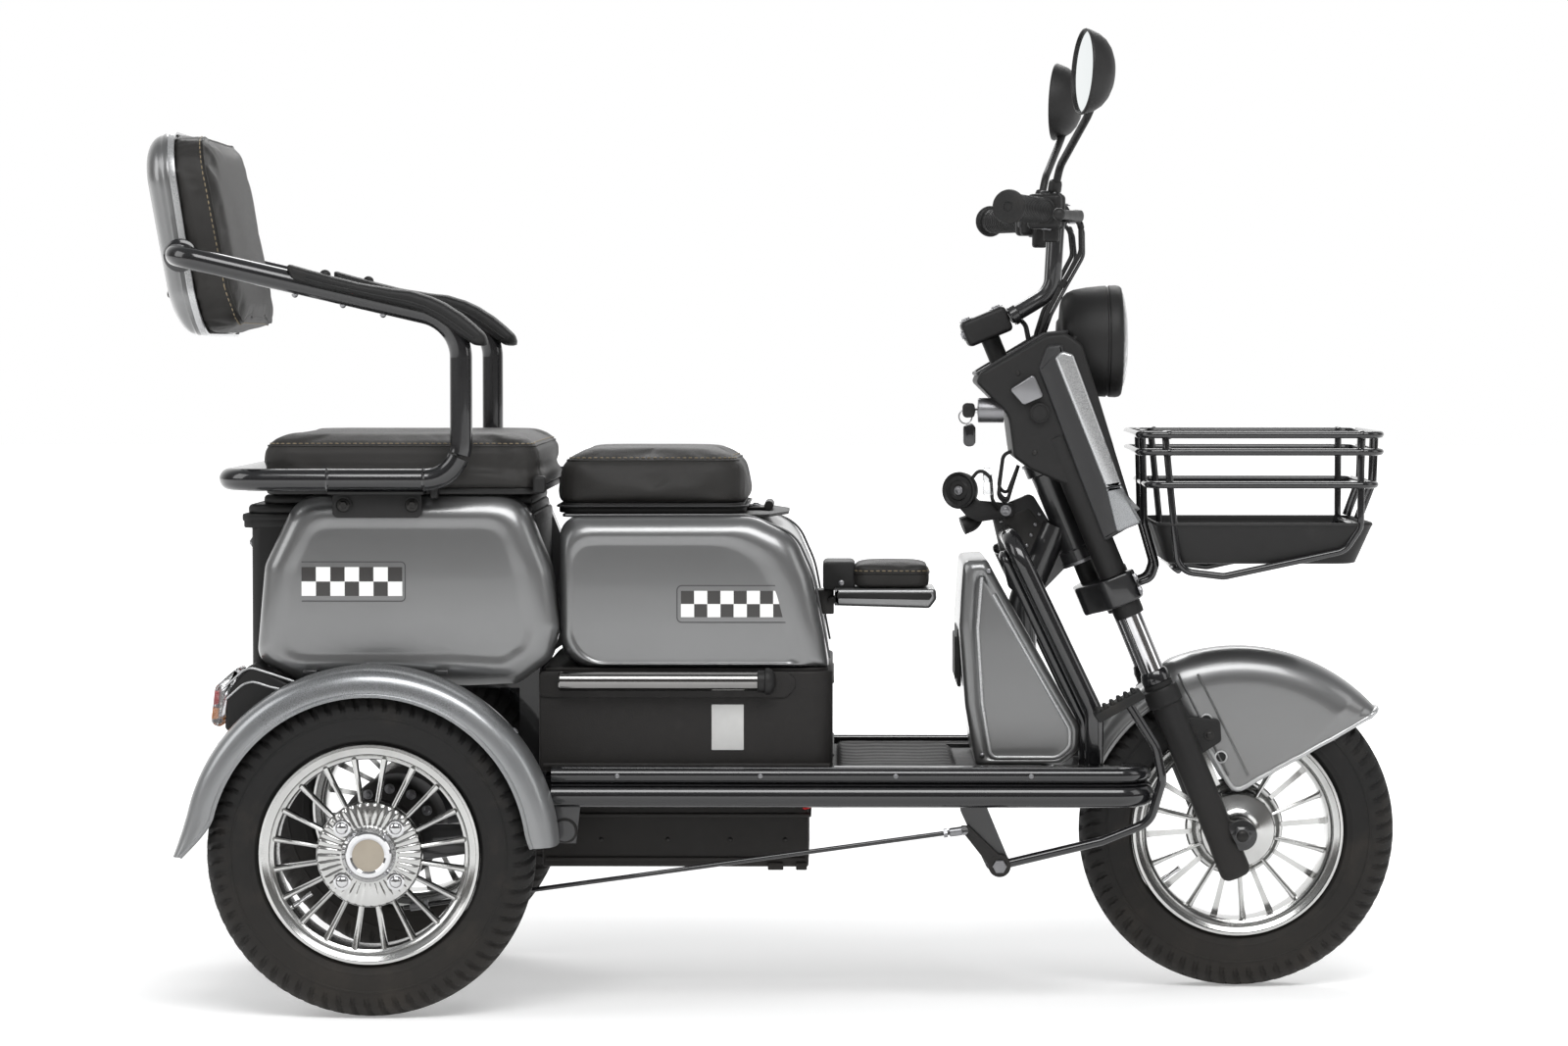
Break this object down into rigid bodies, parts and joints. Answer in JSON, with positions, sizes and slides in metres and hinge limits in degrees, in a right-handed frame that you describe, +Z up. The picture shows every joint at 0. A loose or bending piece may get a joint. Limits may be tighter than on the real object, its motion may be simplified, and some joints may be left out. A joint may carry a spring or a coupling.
{
  "type": "electric passenger trike",
  "caption": "Three-wheeled electric runabout with driver and passenger seats, armrests, front basket, foot brake, sprung fork and sprung rear axle.",
  "frame": {"origin": "on the ground, at the middle of the overall length and width", "axes": "+X forward, +Y to the rider's left, +Z up"},
  "size_m": [1.6059, 0.7638, 1.2234],
  "materials": {
    "frame_paint": "satin black powder coat",
    "tube_paint": "gloss black",
    "silver_paint": "satin metallic grey",
    "black_plastic": "fine grained black plastic",
    "seat_vinyl": "grained vinyl with tan stitching",
    "grip_rubber": "matt black rubber",
    "tyre_rubber": "matt black tyre",
    "chrome": "polished",
    "lever_metal": "black",
    "lamp_glass": "clear",
    "battery_case": "plain"
  },
  "bodies": {
    "chassis": {"main_frame": "frame_paint", "front_frame": "frame_paint", "footboard": "black_plastic", "side_rails": "tube_paint", "battery_box": "black_plastic", "battery_pack": "battery_case", "driver_base": "black_plastic", "driver_shell": "silver_paint", "trim_tubes": "chrome", "rear_panel_right": "silver_paint", "rear_panel_left": "silver_paint", "storage_box": "black_plastic", "seat_brackets": "frame_paint", "arm_frame": "tube_paint", "armrest_right": "grip_rubber", "armrest_left": "grip_rubber", "backrest_shell": "silver_paint", "backrest_cushion": "seat_vinyl", "legshield": "silver_paint", "leg_guards": "tube_paint", "horn": "black_plastic", "rear_fender_right": "silver_paint", "rear_fender_left": "silver_paint", "tail_lamp_right": "lamp_glass", "tail_lamp_left": "lamp_glass"},
    "driver_seat": {"driver_seat_base": "black_plastic", "driver_cushion": "seat_vinyl"},
    "passenger_seat": {"passenger_seat_base": "black_plastic", "passenger_cushion": "seat_vinyl"},
    "child_seat": {"child_seat_plate": "silver_paint", "child_seat_pad": "seat_vinyl"},
    "pedal": {"brake_pedal": "frame_paint"},
    "rod": {"brake_rod": "frame_paint"},
    "steering": {"steering_stem": "frame_paint", "fork_tubes": "chrome", "handlebar": "tube_paint", "dash_cover": "black_plastic", "headlight_shell": "black_plastic", "headlight_lens": "lamp_glass", "basket_frame": "tube_paint", "basket_tray": "black_plastic", "left_grip": "grip_rubber", "controls": "black_plastic", "ignition_lock": "chrome", "cables": "grip_rubber"},
    "key": {"ignition_key": "chrome"},
    "throttle": {"throttle_grip": "grip_rubber"},
    "lever_right": {"brake_lever_right": "lever_metal"},
    "lever_left": {"brake_lever_left": "lever_metal"},
    "mirror_arm_right": {"mirror_right": "black_plastic"},
    "mirror_arm_left": {"mirror_left": "black_plastic"},
    "fork_slider": {"fork_legs": "frame_paint", "front_fender": "silver_paint"},
    "front_wheel": {"front_tyre": "tyre_rubber", "front_rim": "chrome"},
    "rear_axle": {"swing_arm": "frame_paint"},
    "rear_wheel_right": {"rear_tyre_right": "tyre_rubber", "rear_rim_right": "chrome"},
    "rear_wheel_left": {"rear_tyre_left": "tyre_rubber", "rear_rim_left": "chrome"}
  },
  "joints": [
    {"name": "steer", "type": "hinge", "parent": "chassis", "child": "steering", "pos_m": [0.361, 0, 0.639], "axis": [-0.3827, 0, 0.9239], "range_deg": [-32, 32]},
    {"name": "fork_travel", "type": "slide", "parent": "steering", "child": "fork_slider", "axis": [-0.3827, 0, 0.9239], "range_m": [0, 0.034], "stiffness_N_per_m": 14000, "springref_m": -0.05},
    {"name": "front_wheel_spin", "type": "hinge", "parent": "fork_slider", "child": "front_wheel", "pos_m": [0.598, 0, 0.205], "axis": [0, 1, 0], "continuous": true},
    {"name": "rear_axle_travel", "type": "hinge", "parent": "chassis", "child": "rear_axle", "pos_m": [-0.266, 0, 0.226], "axis": [0, 1, 0], "range_deg": [0, 3.5], "stiffness_Nm_per_rad": 2500, "springref_deg": -8.59},
    {"name": "rear_wheel_right_spin", "type": "hinge", "parent": "rear_axle", "child": "rear_wheel_right", "pos_m": [-0.504, -0.277, 0.205], "axis": [0, 1, 0], "continuous": true},
    {"name": "rear_wheel_left_spin", "type": "hinge", "parent": "rear_axle", "child": "rear_wheel_left", "pos_m": [-0.504, 0.277, 0.205], "axis": [0, 1, 0], "continuous": true},
    {"name": "driver_seat_tip", "type": "hinge", "parent": "chassis", "child": "driver_seat", "pos_m": [-0.012, 0, 0.6283], "axis": [0, 1, 0], "range_deg": [0, 80]},
    {"name": "passenger_seat_tip", "type": "hinge", "parent": "chassis", "child": "passenger_seat", "pos_m": [-0.64, 0, 0.6525], "axis": [0, -1, 0], "range_deg": [0, 24]},
    {"name": "child_seat_fold", "type": "hinge", "parent": "chassis", "child": "child_seat", "pos_m": [0.0732, 0, 0.5], "axis": [0, 1, 0], "range_deg": [0, 85]},
    {"name": "brake_pedal_push", "type": "hinge", "parent": "chassis", "child": "pedal", "pos_m": [0.281, -0.2, 0.181], "axis": [0, 1, 0], "range_deg": [0, 12], "stiffness_Nm_per_rad": 14, "springref_deg": -17.19},
    {"name": "brake_rod_pull", "type": "slide", "parent": "chassis", "child": "rod", "axis": [0.9904, 0, 0.138], "range_m": [0, 0.012]},
    {"name": "throttle_turn", "type": "hinge", "parent": "steering", "child": "throttle", "pos_m": [0.33388, -0.19264, 1.00452], "axis": [-0.3536, -0.9353, 0.0114], "range_deg": [0, 70], "stiffness_Nm_per_rad": 0.3, "springref_deg": -17.19},
    {"name": "brake_lever_right_pull", "type": "hinge", "parent": "steering", "child": "lever_right", "pos_m": [0.37028, -0.18402, 0.99828], "axis": [0, 0, -1], "range_deg": [0, 11], "stiffness_Nm_per_rad": 1.5, "springref_deg": -11.46},
    {"name": "brake_lever_left_pull", "type": "hinge", "parent": "steering", "child": "lever_left", "pos_m": [0.37028, 0.18402, 0.99828], "axis": [0, 0, 1], "range_deg": [0, 11], "stiffness_Nm_per_rad": 1.5, "springref_deg": -11.46},
    {"name": "mirror_right_turn", "type": "hinge", "parent": "steering", "child": "mirror_arm_right", "pos_m": [0.35, -0.176, 1.03], "axis": [0, 0, 1], "range_deg": [-25, 25]},
    {"name": "mirror_left_turn", "type": "hinge", "parent": "steering", "child": "mirror_arm_left", "pos_m": [0.35, 0.176, 1.03], "axis": [0, 0, 1], "range_deg": [-25, 25]},
    {"name": "key_turn", "type": "hinge", "parent": "steering", "child": "key", "pos_m": [0.259, -0.06, 0.752], "axis": [1, 0, 0], "range_deg": [0, 90]}
  ],
  "couplings": [
    {"joint": "brake_rod_pull", "follows": "brake_pedal_push", "m_per_rad": 0.0507}
  ]
}
